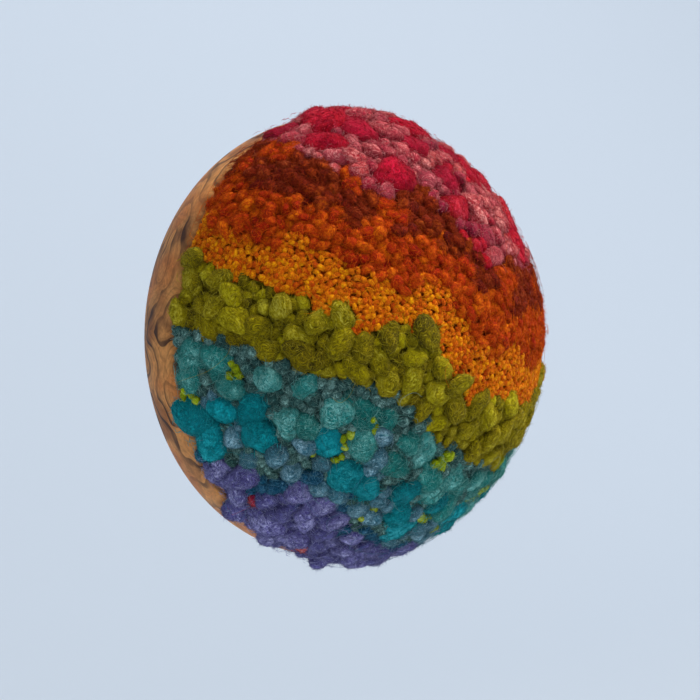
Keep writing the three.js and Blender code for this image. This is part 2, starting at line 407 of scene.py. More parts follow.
# %% The surface that the tips reach
PILE_RADIUS = 50 * MM
DOME_HEIGHT = 41 * MM
EDGE_RISE = 1.5 * MM
DOME_POWER = 1.72
CROWN_ROUND = 4 * MM
Fullness = namedtuple("Fullness", "lobes share fullest_at")
FULLNESS = [Fullness(1, 0.024, 90), Fullness(2, 0.03, 115), Fullness(3, 0.022, 0)]


def unit(vectors):
    return vectors / np.linalg.norm(vectors, axis=-1, keepdims=True)


def soften(length):
    return np.hypot(length, CROWN_ROUND) - CROWN_ROUND


def rise_at(radius):
    """How high the dome is at a radius, from 0 at the widest ring to 1 at the crown."""
    outward = soften(radius) / soften(PILE_RADIUS)
    return np.maximum(1 - outward ** DOME_POWER, 0) ** (1 / DOME_POWER)


def fuller(radius, rise, turn):
    swell = sum(wave.share * np.cos(wave.lobes * (turn - math.radians(wave.fullest_at))) for wave in FULLNESS)
    return radius * (1 + swell * np.sin(math.pi * rise))


def tip_points(lean, turn):
    radius = PILE_RADIUS * np.sin(lean)
    rise = rise_at(radius)
    radius = fuller(radius, rise, turn)
    out = BOWL_DEPTH + EDGE_RISE + DOME_HEIGHT * rise
    return np.stack([radius * np.cos(turn), -out, radius * np.sin(turn)], -1)


def tip_frames(lean, turn):
    """At each place on the dome, the direction outwards and the direction around it."""
    step = 0.002
    lean = np.clip(lean, 2 * step, math.pi / 2 - 2 * step)
    down = tip_points(lean + step, turn) - tip_points(lean - step, turn)
    around = unit(tip_points(lean, turn + step) - tip_points(lean, turn - step))
    return unit(np.cross(down, around)), around


print("crown at y in mm:", round(float(tip_points(0.0, 0.0)[1] / MM), 1))

# %% [markdown]
# ## Wavy stripes of yarn
#
# The yarns lie in wavy stripes that run across the dome, each in colours of its own, from raspberry at
# the top to violet at the bottom. A stripe coordinate says how far along the stripes' direction a place
# is, and two sine waves bend the borders. Painting the stripes as a picture is another way, but then no
# loop would know its yarn.

# %% The stripe coordinate
STRIPE_AXIS = unit(np.array([0.36, -0.345, 0.866]))
WAVE_AXIS = unit(np.array([0.923, 0, -0.384]))
Wave = namedtuple("Wave", "height spacing shift")
WAVES = [Wave(3.2, 62, 0.3), Wave(1.5, 27, 1.4)]


def stripe_at(points):
    """The stripe coordinate of points, in millimetres."""
    from_rim = (points - np.array(RIM_CENTRE)) / MM
    along = from_rim @ WAVE_AXIS
    bend = sum(wave.height * np.sin(2 * math.pi * along / wave.spacing + wave.shift) for wave in WAVES)
    return from_rim @ STRIPE_AXIS + bend


print("stripe coordinate at the crown:", round(float(stripe_at(tip_points(0.0, 0.0))), 1))

# %% [markdown]
# ## Where the loops stand
#
# Loops are thrown at random places and kept where they find room, the largest first. The large ones use
# the same simple number generator as the solid model, so they come out in the same places as its raised
# loops. A ready-made scatter could place them, but wool that is punched by hand is neither a grid nor
# quite random: each loop is pushed up against its neighbours.

# %% Throw the large loops
Row = namedtuple("Row", "yarn start end radius length count lift")
LARGE_LOOPS = [
    Row("raspberry", 36, 54, 4.0, 1.25, 24, 1),
    Row("turquoise", -31, -19, 3.5, 1.15, 18, 1),
    Row("seafoam", -22, -11, 2.8, 1.1, 34, 0.9),
    Row("olive", -6, 6, 2.1, 1.45, 60, 0.8),
    Row("violet", -54, -35, 2.5, 1.1, 56, 0.9),
    Row("rust", 26, 34, 2.8, 1.2, 40, 0.6),
    Row("orange", 17, 26, 2.8, 1.2, 40, 0.6),
    Row("deep_blue", -35, -30, 2.4, 1.2, 20, 0.6),
    Row("pink", 32, 54, 2.0, 1.15, 70, 0.9),
    Row("dusty_blue", -34, -18, 2.0, 1.05, 36, 0.9),
]
TRIES_PER_LOOP = 160
SIZE_SPREAD = 0.3
CROWDING = 0.86
BORDER_MIX = 3
FIRST_DRAW = 20251
DRAWS_PER_TRY = 5
DRAW_FACTOR, DRAW_SHIFT, DRAW_RANGE = 1664525, 1013904223, 2 ** 32  # as in the solid model
PILE_DIP = 1.3 * MM

Loop = namedtuple("Loop", "centre normal around radius length reach heading dip yarn")
placed_loops = []


def add_loop(row, lean, turn, radius, heading, lift):
    placed_loops.append(Loop(
        tip_points(lean, turn), *tip_frames(lean, turn), radius, row.length, radius * math.sqrt(row.length),
        heading, PILE_DIP * (1 - lift), row.yarn))


def is_clear(place, reach):
    """Whether a loop with this reach finds room at a place."""
    centres = np.reshape([loop.centre for loop in placed_loops], (-1, 3))
    room = CROWDING * (reach + np.array([loop.reach for loop in placed_loops]))
    return (np.linalg.norm(centres - place, axis=1) > room).all()


def numbers(count, state):
    """The next numbers from 0 to 1 of a simple generator, and its new state."""
    found = np.empty(count)
    for place in range(count):
        state = (DRAW_FACTOR * state + DRAW_SHIFT) % DRAW_RANGE
        found[place] = state / DRAW_RANGE
    return found, state


state = FIRST_DRAW
for row in LARGE_LOOPS:
    draws, state = numbers(DRAWS_PER_TRY * row.count * TRIES_PER_LOOP, state)
    draws = draws.reshape(-1, DRAWS_PER_TRY)
    leans, turns = np.arccos(1 - draws[:, 0]), 2 * math.pi * draws[:, 1]
    radii = row.radius * MM * (1 + SIZE_SPREAD * (draws[:, 2] - 0.5))
    places = tip_points(leans, turns)
    coordinates = stripe_at(places) + BORDER_MIX * (draws[:, 4] - 0.5)
    left = row.count
    for attempt in np.flatnonzero((coordinates >= row.start) & (coordinates <= row.end)):
        if left and is_clear(places[attempt], radii[attempt] * math.sqrt(row.length)):
            heading = math.pi * draws[attempt, 3]
            add_loop(row, leans[attempt], turns[attempt], radii[attempt], heading, row.lift)
            left -= 1
print("large loops:", len(placed_loops))

# %% [markdown]
# Three of the yarns are fluffy, like mohair. Their pile is a field of fine tufts that swells up here and
# there, and no large loops stand out of it. So the places found for them are kept as swells, which the
# small loops follow, and are taken off the list of loops.

# %% Keep the fluffy yarns' large places as swells
FLUFFY_YARNS = ("rust", "orange", "deep_blue")
SWELL_LIFT = 0.6

swells = [loop for loop in placed_loops if loop.yarn in FLUFFY_YARNS]
swell_centres = np.array([swell.centre for swell in swells])
swell_reaches = np.array([swell.reach for swell in swells])
placed_loops = [loop for loop in placed_loops if loop.yarn not in FLUFFY_YARNS]


def swell_at(place):
    """How far the swells lift the pile at a place, from 0 outside them to SWELL_LIFT on their tops."""
    apart = (np.linalg.norm(swell_centres - place, axis=1) / swell_reaches).min()
    return SWELL_LIFT * math.sqrt(max(1 - apart ** 2, 0))


print("swells:", len(swells), "large loops left:", len(placed_loops))

# %% [markdown]
# The small loops fill what is left. Each row of the table packs one stripe: of thousands of possible
# places, the next loop takes the one with the least room to spare, so the loops grow together like
# cobbles. The stripes' borders wander, so that neighbours mix.

# %% Fill in the small loops
SMALL_LOOPS = [
    Row("pink", 50, 66, 1.6, 1.1, 4, 0.4),
    Row("chartreuse", -30, -8, 0.8, 1.15, 84, 0.55),
    Row("orange", 27, 36, 1.25, 1.1, 46, 0.4),
    Row("pink", -52, -38, 1.5, 1.2, 12, 0.6),
    Row("raspberry", 33, 66, 1.8, 1.2, 24, 0.5),
    Row("pink", 33.5, 66, 1.5, 1.1, 400, 0.35),
    Row("rust", 26, 34, 1.25, 1.2, 600, 0.2),
    Row("orange", 16.5, 26, 1.15, 1.2, 600, 0.2),
    Row("gold", 6, 17, 0.56, 1.2, 2400, 0.1),
    Row("olive", -6.5, 6.5, 1.15, 1.4, 400, 0.1),
    Row("dusty_blue", -30, -20, 1.5, 1.05, 60, 0.5),
    Row("sage", -31, -6, 1.15, 1.05, 1400, 0.25),
    Row("deep_blue", -36, -30, 1.25, 1.1, 400, 0.1),
    Row("violet", -66, -35.5, 1.4, 1.1, 500, 0.35),
]
CANDIDATES_PER_SQUARE_MM = 7
DOME_SQUARE_MM = 15000
ACCENT_COUNT = 100  # a row with fewer loops than this is an accent and lies in groups
GROUP_SIZE = 4
GROUP_REACH = 2.6  # in radii
TIGHTENINGS = 6  # when no place is free, the next loop is smaller, this many times
TIGHTENING = 0.05
rng = np.random.default_rng(77)


def wander(points):
    """A slow bumpy shift of the borders, in millimetres."""
    x, y, z = (points / MM).T
    return 1.3 * np.sin(x / 2.3 + z / 4.1) + 1.1 * np.sin(z / 1.9 - x / 3.7 + y / 3)


def clusters(points, row):
    """Accents lie in small groups, so all but the places near a few centres are left out."""
    centres = points[rng.integers(0, len(points), max(row.count // GROUP_SIZE, 1))]
    apart = np.linalg.norm(points[:, None] - centres[None], axis=2).min(1)
    return apart < GROUP_REACH * row.radius * MM


def fill_stripe(row):
    """Packs a stripe and returns how many loops it took."""
    count = CANDIDATES_PER_SQUARE_MM * DOME_SQUARE_MM
    leans, turns = np.arccos(1 - rng.random(count)), 2 * math.pi * rng.random(count)
    places = tip_points(leans, turns)
    coordinates = stripe_at(places) + wander(places)
    inside = (coordinates >= row.start) & (coordinates <= row.end)
    leans, turns, places = leans[inside], turns[inside], places[inside]
    if row.count < ACCENT_COUNT:
        grouped = clusters(places, row)
        leans, turns, places = leans[grouped], turns[grouped], places[grouped]
    room = np.full(len(places), np.inf)
    for loop in placed_loops:
        room = np.minimum(room, np.linalg.norm(places - loop.centre, axis=1) - CROWDING * loop.reach)
    placed, tight = 0, 0
    while placed < row.count and tight < TIGHTENINGS:
        radius = row.radius * MM * (1 + SIZE_SPREAD * (rng.random() - 0.5)) * (1 - TIGHTENING * tight)
        reach = radius * math.sqrt(row.length)
        spare = np.where(room > CROWDING * reach, room, np.inf)
        pick = int(np.argmin(spare))
        if not np.isfinite(spare[pick]):
            tight += 1
            continue
        lift = max(row.lift, swell_at(places[pick]))
        add_loop(row, leans[pick], turns[pick], radius, math.pi * rng.random(), lift)
        room = np.minimum(room, np.linalg.norm(places - places[pick], axis=1) - CROWDING * reach)
        placed += 1
    return placed


for row in SMALL_LOOPS:
    print(row.yarn, fill_stripe(row), "small loops")

loops = Loop(*(np.array(values) for values in zip(*placed_loops)))  # one array for each field
YARNS = sorted(set(loops.yarn.tolist()))
print("loops in all:", len(loops.yarn), "yarns:", YARNS)

# %% [markdown]
# ## The filled cloth under the loops
#
# Between the loops the eye looks down into the pile, to the foot of the loops on their cloth. The cloth
# and its filling are one closed form that fills the bowl and swells up into the dome. It is drawn out of
# a disc like the bowl, then its rings are pushed out of round with the same fullness as the pile.

# %% Draw out the pad
PILE_DEPTH = 2.7 * MM
FIT_GAP = 0.3 * MM
PAD_LEANS = np.radians(np.linspace(86, 2.5, 34))


def pad_profile():
    """Radius and distance from the foot, from the bowl's floor to the crown, a pile's depth under tips."""
    plug_radius = RIM_RADIUS - WALL_THICKNESS - FIT_GAP
    plug_depth = BOWL_DEPTH - FLOOR_THICKNESS - FIT_GAP
    plug = bowl_curve(plug_radius, plug_depth, FLOOR_SHARE, share_at(RIM_ROUND, plug_depth), steps=8)
    yield from ((radius, BOWL_DEPTH - below) for radius, below in plug)
    yield plug_radius, BOWL_DEPTH + FIT_GAP
    yield PILE_RADIUS - PILE_DEPTH, BOWL_DEPTH + FIT_GAP
    for lean in PAD_LEANS:
        radius = PILE_RADIUS * math.sin(lean)
        out = BOWL_DEPTH + EDGE_RISE + (DOME_HEIGHT - PILE_DEPTH) * float(rise_at(radius))
        yield radius * (1 - PILE_DEPTH / PILE_RADIUS), out


pad = draw_out("filled_cloth", list(pad_profile()))
places = np.array([corner.co for corner in pad.data.vertices])
turns = np.arctan2(places[:, 2], places[:, 0])
radii = np.hypot(places[:, 0], places[:, 2])
rises = np.clip((-places[:, 1] - BOWL_DEPTH - EDGE_RISE) / (DOME_HEIGHT - PILE_DEPTH), 0, 1)
swollen = fuller(radii, rises, turns)
places[:, 0], places[:, 2] = swollen * np.cos(turns), swollen * np.sin(turns)
pad.data.vertices.foreach_set("co", places.ravel())
stripe = pad.data.attributes.new("stripe", "FLOAT", "POINT")
stripe.data.foreach_set("value", stripe_at(places).astype(np.float32))
pad.data.update()
bpy.ops.object.shade_smooth()
print("pad faces:", len(pad.data.polygons))

# %% [markdown]
# ## One loop of each kind
#
# Thick felted wool stands in soft balls with a narrow foot, and fine yarn stands in little arches.
# Each kind is modelled once. A ball starts as an ico sphere, whose faces are all alike in size. Its
# foot is drawn in and its top pressed flat with the resize operator. An arch is a ring of five points
# that the spin operator swings over half a turn. Large loops get the finer ball, because their outline
# shows, and each kind has only as many faces as it needs.

# %% Model the loops
Kind = namedtuple("Kind", "points triangles sheet")


def sorted_triangles(mesh):
    """A mesh's faces as triangles in a fixed order, which operators don't leave and seeded draws need."""
    found = []
    for face in mesh.polygons:
        corners = list(face.vertices)
        first = corners.index(min(corners))
        fixed, *others = corners[first:] + corners[:first]
        found += [(fixed, *pair) for pair in zip(others, others[1:])]
    return np.array(sorted(found))


def finish_kind(piece):
    """Reads a modelled loop into arrays, with each point's place on a round sheet seen from its top."""
    bpy.ops.mesh.select_all(action="SELECT")
    bpy.ops.mesh.normals_make_consistent(inside=False)
    bpy.ops.object.mode_set(mode="OBJECT")
    points = np.array([corner.co for corner in piece.data.vertices])
    triangles = sorted_triangles(piece.data)
    middle = np.array([0, 0, 0.01])  # a little off, so that no point of a ball has it right above
    from_middle = unit(points - middle)
    tilt = np.arccos(np.clip(from_middle[:, 2], -1, 1)) / math.pi
    sheet = unit(from_middle[:, :2] + 1e-6) * tilt[:, None]
    bpy.data.objects.remove(piece)
    return Kind(points, triangles, sheet)


def ball(subdivisions, foot, press):
    """A lump of wool, one unit in radius. foot draws its underside in and press flattens its top."""
    lump = start_piece("lump", bpy.ops.mesh.primitive_ico_sphere_add, subdivisions=subdivisions, radius=1)
    only(lump, "VERT", lambda corner: corner.co.z < -0.3)
    bpy.ops.transform.resize(value=(foot, foot, 1), center_override=(0, 0, 0))
    only(lump, "VERT", lambda corner: corner.co.z > 0.7)
    bpy.ops.transform.resize(value=(1.1, 1.1, press), center_override=(0, 0, 0.7))
    return finish_kind(lump)


def arch(swing, thickness, width, tall):
    """A small arch of yarn, about one unit high. Its strand's middle swings round at a distance of swing."""
    strand = start_piece("strand", bpy.ops.mesh.primitive_circle_add, vertices=5, radius=thickness,
                         location=(swing, 0, 0), fill_type="NGON")
    bpy.ops.transform.resize(value=(1, width / thickness, 1), center_override=(0, 0, 0))
    bpy.ops.mesh.spin(steps=6, angle=math.pi, center=(0, 0, 0), axis=(0, 1, 0))
    bpy.ops.mesh.select_all(action="SELECT")
    bpy.ops.transform.resize(value=(1, 1, tall), center_override=(0, 0, 0))
    return finish_kind(strand)


LARGE_BALL = ball(subdivisions=3, foot=0.8, press=0.8)
SMALL_BALL = ball(subdivisions=2, foot=0.8, press=0.85)
ARCH = arch(swing=0.42, thickness=0.36, width=0.62, tall=1.2)
for name, kind in {"large ball": LARGE_BALL, "small ball": SMALL_BALL, "arch": ARCH}.items():
    print(name, "has", len(kind.triangles), "triangles, from", kind.points.min(0).round(2), "to",
          kind.points.max(0).round(2))

# %% [markdown]
# ## Loose fibres
#
# Wool isn't smooth: fine fibres lie across every loop and stand off it, and they are what makes it look
# soft. Blender's hair would grow them, but hair isn't a mesh and is lost when the model is exported. So
# each fibre is a thin closed solid with three sides. Those that lie on a loop are spindles with a bend in
# the middle, and the short ones that stand off it are straight spikes. Real wool is about 0.03 mm thick,
# too fine to show here, so it is drawn two or three times as thick.

# %% Fibres as arrays
BENT_TRIANGLES = np.array([(0, 2, 1), (0, 3, 2), (0, 1, 3), (4, 1, 2), (4, 2, 3), (4, 3, 1)])
STRAIGHT_TRIANGLES = np.array([(0, 2, 1), (0, 1, 3), (1, 2, 3), (2, 0, 3)])
FIBRE_STRIP = 7 / 8  # the fibres' places on the map begin here
STRIP_WIDTH = 0.004  # from a fibre's middle to its side on the map
PALEST = 0.99
Growth = namedtuple("Growth", "length thickness stand")
# lengths and thicknesses in mm, and how steeply a fibre stands up
LYING = Growth(2.3, 0.11, 0.2)
STANDING = Growth(1.15, 0.09, 0.9)


def any_direction(count):
    return unit(rng.normal(size=(count, 3)))


def flattened(directions, normals):
    """Directions turned to lie along the surface."""
    return unit(directions - normals * (directions * normals).sum(-1, keepdims=True))


def fibre_sizes(growth, scale, longest):
    """Each fibre's length, no more than longest, and its thickness."""
    count = len(longest)
    lengths = np.minimum(growth.length * MM * scale * (0.5 + rng.random(count)), longest)
    return lengths, growth.thickness * MM * (0.7 + 0.6 * rng.random(count))


def rings_across(middles, direction, thickness):
    """Three points around each middle, square to its direction."""
    side = unit(np.cross(direction, direction[..., [1, 2, 0]] + 0.3))
    other = np.cross(direction, side)
    angles = 2 * math.pi * np.arange(3)[:, None] / 3
    spread = side[..., None, :] * np.cos(angles) + other[..., None, :] * np.sin(angles)
    return middles[..., None, :] + spread * (thickness / 2)[..., None, None]


def on_strip(count, darkest, along, beside):
    """Places on the fibres' strip of the map: a shade goes across it, and the fibre's length along it."""
    shade = rng.uniform(darkest, PALEST, (count, 1))
    up = np.broadcast_to(FIBRE_STRIP + np.array(along) / 8, (count, len(along)))
    return np.stack([shade + np.array(beside) * STRIP_WIDTH, up], -1)


def as_lists(points, triangles, sheet):
    """Many small meshes with the same triangles, as lists of points, triangles and places on the map."""
    starts = points.shape[1] * np.arange(len(points))[:, None, None]
    return points.reshape(-1, 3), (triangles + starts).reshape(-1, 3), sheet.reshape(-1, 2)


def lying_fibres(middles, normals, radii, scale, loose, darkest=0.2):
    """Bent spindles with their middles at the given places, on surfaces that curve with the given radii."""
    count = len(middles)
    lengths, widths = fibre_sizes(LYING, scale, 2.4 * loose * radii)
    first = flattened(any_direction(count), normals)
    second = flattened(0.5 * any_direction(count) - first, normals)
    drop = (lengths ** 2 / (8 * loose * radii))[:, None] * normals
    starts = middles + first * lengths[:, None] / 2 - drop
    ends = middles + second * lengths[:, None] / 2 - drop
    rise = (LYING.stand * lengths / 2)[:, None] * rng.random((count, 1)) ** 1.5 * normals
    bend = rings_across(middles + rise, unit(ends - starts), widths)
    points = np.concatenate([starts[:, None], bend, ends[:, None]], 1)
    sheet = on_strip(count, darkest, along=(0.1, 0.5, 0.5, 0.5, 0.9), beside=(0, -1, 0, 1, 0))
    return as_lists(points, BENT_TRIANGLES, sheet)


def standing_fibres(roots, normals, radii, scale):
    """Short straight spikes."""
    count = len(roots)
    lengths, widths = fibre_sizes(STANDING, scale, radii)
    steep = STANDING.stand * rng.random((count, 1))
    direction = unit(flattened(any_direction(count), normals) + normals * steep)
    tips = roots + direction * lengths[:, None]
    points = np.concatenate([rings_across(roots, direction, widths), tips[:, None]], 1)
    sheet = on_strip(count, 0.35, along=(0.1, 0.1, 0.1, 0.9), beside=(-1, 0, 1, 0))
    return as_lists(points, STRAIGHT_TRIANGLES, sheet)


print("triangles in a fibre:", len(BENT_TRIANGLES), "or", len(STRAIGHT_TRIANGLES))

# %% [markdown]
# A few hairs have worked loose and lie curled over their neighbours. Each wanders over the dome step by
# step: its heading turns a little more one way than the other, which curls it, and after each step it is
# put back at its own height over the tips.

# %% Stray hairs
HAIR_STEPS = 13
HAIR_STEP = 0.85 * MM
HAIR_THICKNESS = 0.06 * MM
HAIR_CURL = 0.42  # how much a hair's heading turns at a step, and how unevenly
HAIR_WOBBLE = 0.25


def over_dome(points):
    """The lean and turn of points near the dome."""
    turn = np.arctan2(points[:, 2], points[:, 0])
    radius = np.hypot(points[:, 0], points[:, 2])
    rise = rise_at(np.minimum(radius, PILE_RADIUS))
    swell = fuller(1.0, rise, turn)
    return np.arcsin(np.clip(radius / swell / PILE_RADIUS, 0, 1)), turn


def tube_triangles(rings):
    """The triangles of a closed tube with three sides, from ring to ring of three points."""
    triangles = [(0, 2, 1), (3 * rings - 3, 3 * rings - 2, 3 * rings - 1)]
    for start in range(0, 3 * rings - 3, 3):
        for side in range(3):
            here, beside = start + side, start + (side + 1) % 3
            triangles += [(here, beside, beside + 3), (here, beside + 3, here + 3)]
    return np.array(triangles)


def stray_hairs(starts):
    """Curled tubes with three sides that start at the given places."""
    count = len(starts)
    lean, turn = over_dome(starts)
    heading = any_direction(count)
    curl = rng.normal(0, HAIR_CURL, (count, 1))
    lift = rng.uniform(0.02, 0.22, (count, 1)) * MM
    middles = []
    for step in range(HAIR_STEPS):
        normal, _ = tip_frames(lean, turn)
        height = lift * math.sin(math.pi * (step + 0.5) / HAIR_STEPS)
        middles.append(tip_points(lean, turn) + normal * height)
        heading = flattened(heading, normal)
        bend = curl + HAIR_WOBBLE * rng.normal(size=(count, 1))
        heading = heading * np.cos(bend) + np.cross(normal, heading) * np.sin(bend)
        lean, turn = over_dome(tip_points(lean, turn) + heading * HAIR_STEP)
    middles = np.stack(middles, 1)
    direction = unit(np.gradient(middles, axis=1))
    thickness = np.full((count, HAIR_STEPS), HAIR_THICKNESS)
    points = rings_across(middles, direction, thickness).reshape(count, -1, 3)
    along = np.repeat((np.arange(HAIR_STEPS) + 0.5) / HAIR_STEPS, 3)
    sheet = on_strip(count, 0.5, along, beside=HAIR_STEPS * (-1, 0, 1))
    return as_lists(points, tube_triangles(HAIR_STEPS), sheet)


print("a hair is", round(HAIR_STEPS * HAIR_STEP / MM, 1), "mm long")

# %% [markdown]
# ## Join each yarn into one piece
#
# Thousands of loops as objects would be slow, so each yarn's loops and fibres become one mesh. A copy is
# the modelled loop, stretched to its own length, width and height, pushed a little out of shape, turned
# to its heading and set on the dome. Its points are worked out for all copies at once with numpy. Wool at
# the edge that would reach into the wood is pressed flat on the rim, as real wool is.
#
# Every mesh also gets a flat map of the yarn. The map is a sheet of 8 by 7 squares, each a slightly
# different dye of the same yarn, with a strip for the loose fibres along its top. A loop lies on one
# square, so the colours follow the loops, and loops that share a square share its colours.

# %% The yarns
Yarn = namedtuple("Yarn", "plump height rough lying standing crossing scale loose hairs")
# width beside its room, height beside its radius, how lumpy, then the fibres: how many lie on a square
# millimetre and how many stand on it, how many cross the gaps for each millimetre around a loop, how
# long they are beside the usual, how loosely they lie (1 hugs the loop), and how many stray hairs
YARN_SHAPES = {
    "raspberry": Yarn(1.2, 0.95, 0.1, 1.7, 2.5, 1.7, 0.9, 1.5, 10),
    "turquoise": Yarn(1.18, 0.95, 0.1, 1.8, 2.8, 1.8, 0.9, 1.5, 12),
    "pink": Yarn(1.22, 1.1, 0.13, 1.8, 2.4, 1.4, 0.85, 1.7, 14),
    "rust": Yarn(1.35, 0.85, 0.18, 2.4, 3.0, 1.3, 1.3, 4, 30),
    "orange": Yarn(1.35, 0.9, 0.18, 2.1, 2.5, 1.2, 1.3, 4, 36),
    "gold": Yarn(1.9, 1.5, 0.08, 0.5, 0.7, 0.8, 0.8, 3, 14),
    "olive": Yarn(1.2, 0.8, 0.14, 1.75, 2.0, 1.2, 1.0, 1.9, 16),
    "sage": Yarn(1.28, 1.1, 0.12, 2.2, 2.8, 1.3, 0.95, 1.8, 22),
    "seafoam": Yarn(1.22, 0.95, 0.15, 2.4, 3.0, 1.8, 1.05, 1.8, 16),
    "dusty_blue": Yarn(1.25, 1.1, 0.1, 2.3, 3.0, 1.5, 0.9, 1.8, 12),
    "deep_blue": Yarn(1.32, 0.95, 0.16, 2.5, 3.2, 1.6, 1.2, 3, 22),
    "violet": Yarn(1.26, 1.1, 0.16, 2.4, 3.0, 1.6, 1.0, 1.8, 16),
    "chartreuse": Yarn(1.2, 1.2, 0.18, 1.4, 2.6, 0.5, 0.6, 1.2, 0),
}
FINE_YARN = "gold"
LARGE_RADIUS = 1.75 * MM
print("yarn shapes:", len(YARN_SHAPES))

# %% Keep the wool out of the wood
CLEAR_OF_WOOD = 0.05 * MM


def rim_top(points):
    """How far from the foot the wood reaches at each point's radius, or 0 outside the rim."""
    radius = np.hypot(points[:, 0], points[:, 2])
    over_round = np.clip(radius - (RIM_RADIUS - RIM_ROUND), 0, RIM_ROUND)
    top = BOWL_DEPTH - RIM_ROUND + np.sqrt(RIM_ROUND ** 2 - over_round ** 2)
    return np.where(radius < RIM_RADIUS, top, 0)


def pressed_on_rim(points):
    """Wool that would reach down into the bowl lies pressed on its rim instead."""
    points[:, 1] = np.minimum(points[:, 1], -rim_top(points))
    return points


on_axis = np.zeros((1, 3))
print("pressed onto the rim, a point on the axis is at y in mm:", pressed_on_rim(on_axis)[0, 1] / MM)

# %% Copy a loop to its places
SQUARES_ACROSS = 8
SQUARE_ROWS = 7
SQUARE_SHARE = 0.46  # of a square, so that loops on neighbouring squares stay apart
HEAD_TILT = 0.22
LUMP_WAVES = np.repeat([2.4, 5.2], 3)  # three wide waves push a loop out of shape, and three fine ones
FINE_SHARE = 0.4  # how strong the fine ones are beside the wide ones


def copies(kind, yarn, chosen):
    """Copies of a kind of loop at the chosen places, as lists, with each point's height and radius."""
    count = len(chosen)
    radius = loops.radius[chosen] * yarn.plump
    height = loops.radius[chosen] * yarn.height
    normal = loops.normal[chosen]
    stem = unit(normal + HEAD_TILT * any_direction(count))
    heading = loops.heading[chosen][:, None]
    around = loops.around[chosen]
    along = flattened(around * np.cos(heading) + np.cross(normal, around) * np.sin(heading), stem)
    across = np.cross(stem, along)

    waves = any_direction(6 * count).reshape(count, 6, 3) * LUMP_WAVES[:, None]
    phase = rng.uniform(0, 2 * math.pi, (count, 1, 6))
    lumps = np.sin(np.einsum("vi,cki->cvk", kind.points, waves) + phase)
    lumps = lumps[:, :, :3].sum(2, keepdims=True) + FINE_SHARE * lumps[:, :, 3:].sum(2, keepdims=True)
    local = kind.points[None] * (1 + yarn.rough * lumps)
    local = local * np.stack([radius * loops.length[chosen], radius, height], 1)[:, None]

    middle = loops.centre[chosen] - normal * (height + loops.dip[chosen])[:, None]
    points = middle[:, None] + sum(
        local[:, :, axis, None] * direction[:, None] for axis, direction in enumerate((along, across, stem)))
    square = rng.integers(0, (SQUARES_ACROSS, SQUARE_ROWS), (count, 2))
    sheet = (square[:, None] + 0.5 + SQUARE_SHARE * kind.sheet[None]) / SQUARES_ACROSS
    points, triangles, sheet = as_lists(points, kind.triangles, sheet)
    return SimpleNamespace(
        points=pressed_on_rim(points), triangles=triangles, sheet=sheet,
        heights=np.tile(kind.points[:, 2], count), radii=np.repeat(radius, len(kind.points)))


print("the map has", SQUARES_ACROSS * SQUARE_ROWS, "squares")

# %% Find where the fibres grow
VISIBLE_HEIGHT = 0.05  # under this share of its height a loop is hidden by its neighbours
BURIED_SHARE = 0.92
PLACES_AT_ONCE = 2000
CROSSING_RADIUS = 12 * MM  # fibres over the gaps bend about as the dome does


def in_the_open(places, own=None):
    """Which places lie neither in a loop nor on the wood. own is the loop that each place may lie in."""
    middles = loops.centre - loops.normal * (loops.reach + loops.dip)[:, None]
    free = -places[:, 1] > rim_top(places) + CLEAR_OF_WOOD
    for start in range(0, len(places), PLACES_AT_ONCE):
        some = slice(start, start + PLACES_AT_ONCE)
        part = places[some]
        apart = (part ** 2).sum(1)[:, None] + (middles ** 2).sum(1) - 2 * part @ middles.T
        inside = apart < (BURIED_SHARE * loops.reach) ** 2
        if own is not None:
            inside[np.arange(len(part)), own[some]] = False
        free[some] &= ~inside.any(1)
    return free


def between_loops(chosen, per_mm):
    """Places in the gaps around the chosen loops, with the directions outwards and the radii there."""
    around = 2 * math.pi * loops.radius[chosen] / MM
    count = int(per_mm * around.sum())
    beside = rng.choice(chosen, count, p=around / around.sum())
    normal, radius = loops.normal[beside], loops.radius[beside]
    out = loops.reach[beside] * rng.uniform(0.6, 1.1, count)
    depth = loops.dip[beside] + radius * rng.uniform(-0.05, 0.6, count)
    sideways = flattened(any_direction(count), normal)
    places = loops.centre[beside] + sideways * out[:, None] - normal * depth[:, None]
    free = in_the_open(places)
    return places[free], normal[free], np.full(free.sum(), CROSSING_RADIUS)


def roots_on(body, per_square_mm, own):
    """Random places on what shows of the loops, with the directions outwards and the radii there."""
    shown = body.heights[body.triangles].mean(1) > VISIBLE_HEIGHT
    triangles, owner = body.triangles[shown], np.repeat(own, len(shown) // len(own))[shown]
    a, b, c = (body.points[triangles[:, corner]] for corner in range(3))
    square = np.cross(b - a, c - a)
    area = np.linalg.norm(square, axis=1) / 2
    count = int(per_square_mm * area.sum() / MM ** 2)
    face = rng.choice(len(triangles), count, p=area / area.sum())
    u, v = rng.random((2, count, 1))
    u, v = np.where(u + v > 1, (1 - u, 1 - v), (u, v))
    roots = a[face] + u * (b - a)[face] + v * (c - a)[face]
    free = in_the_open(roots, owner[face])
    return roots[free], unit(square[face])[free], body.radii[triangles[face, 0]][free]


print("loops whose tips lie in the open:", in_the_open(loops.centre).sum())

# %% Build the yarns
def joined(parts):
    """Several lists of points, triangles and map places as one, with the points kept out of the wood."""
    points, triangles, sheets = zip(*parts)
    starts = np.cumsum([0, *map(len, points)])
    triangles = np.concatenate([own + start for own, start in zip(triangles, starts)])
    return pressed_on_rim(np.concatenate(points)), triangles, np.concatenate(sheets)


def mesh_piece(name, points, triangles, sheet):
    """One mesh object from arrays, with its flat map."""
    mesh = bpy.data.meshes.new(name)
    mesh.from_pydata(points, [], triangles)
    flat_map = mesh.uv_layers.new(name="OFBake")
    flat_map.uv.foreach_set("vector", sheet[triangles.ravel()].astype(np.float32).ravel())
    mesh.shade_smooth()
    piece = bpy.data.objects.new(name, mesh)
    bpy.context.collection.objects.link(piece)
    return piece


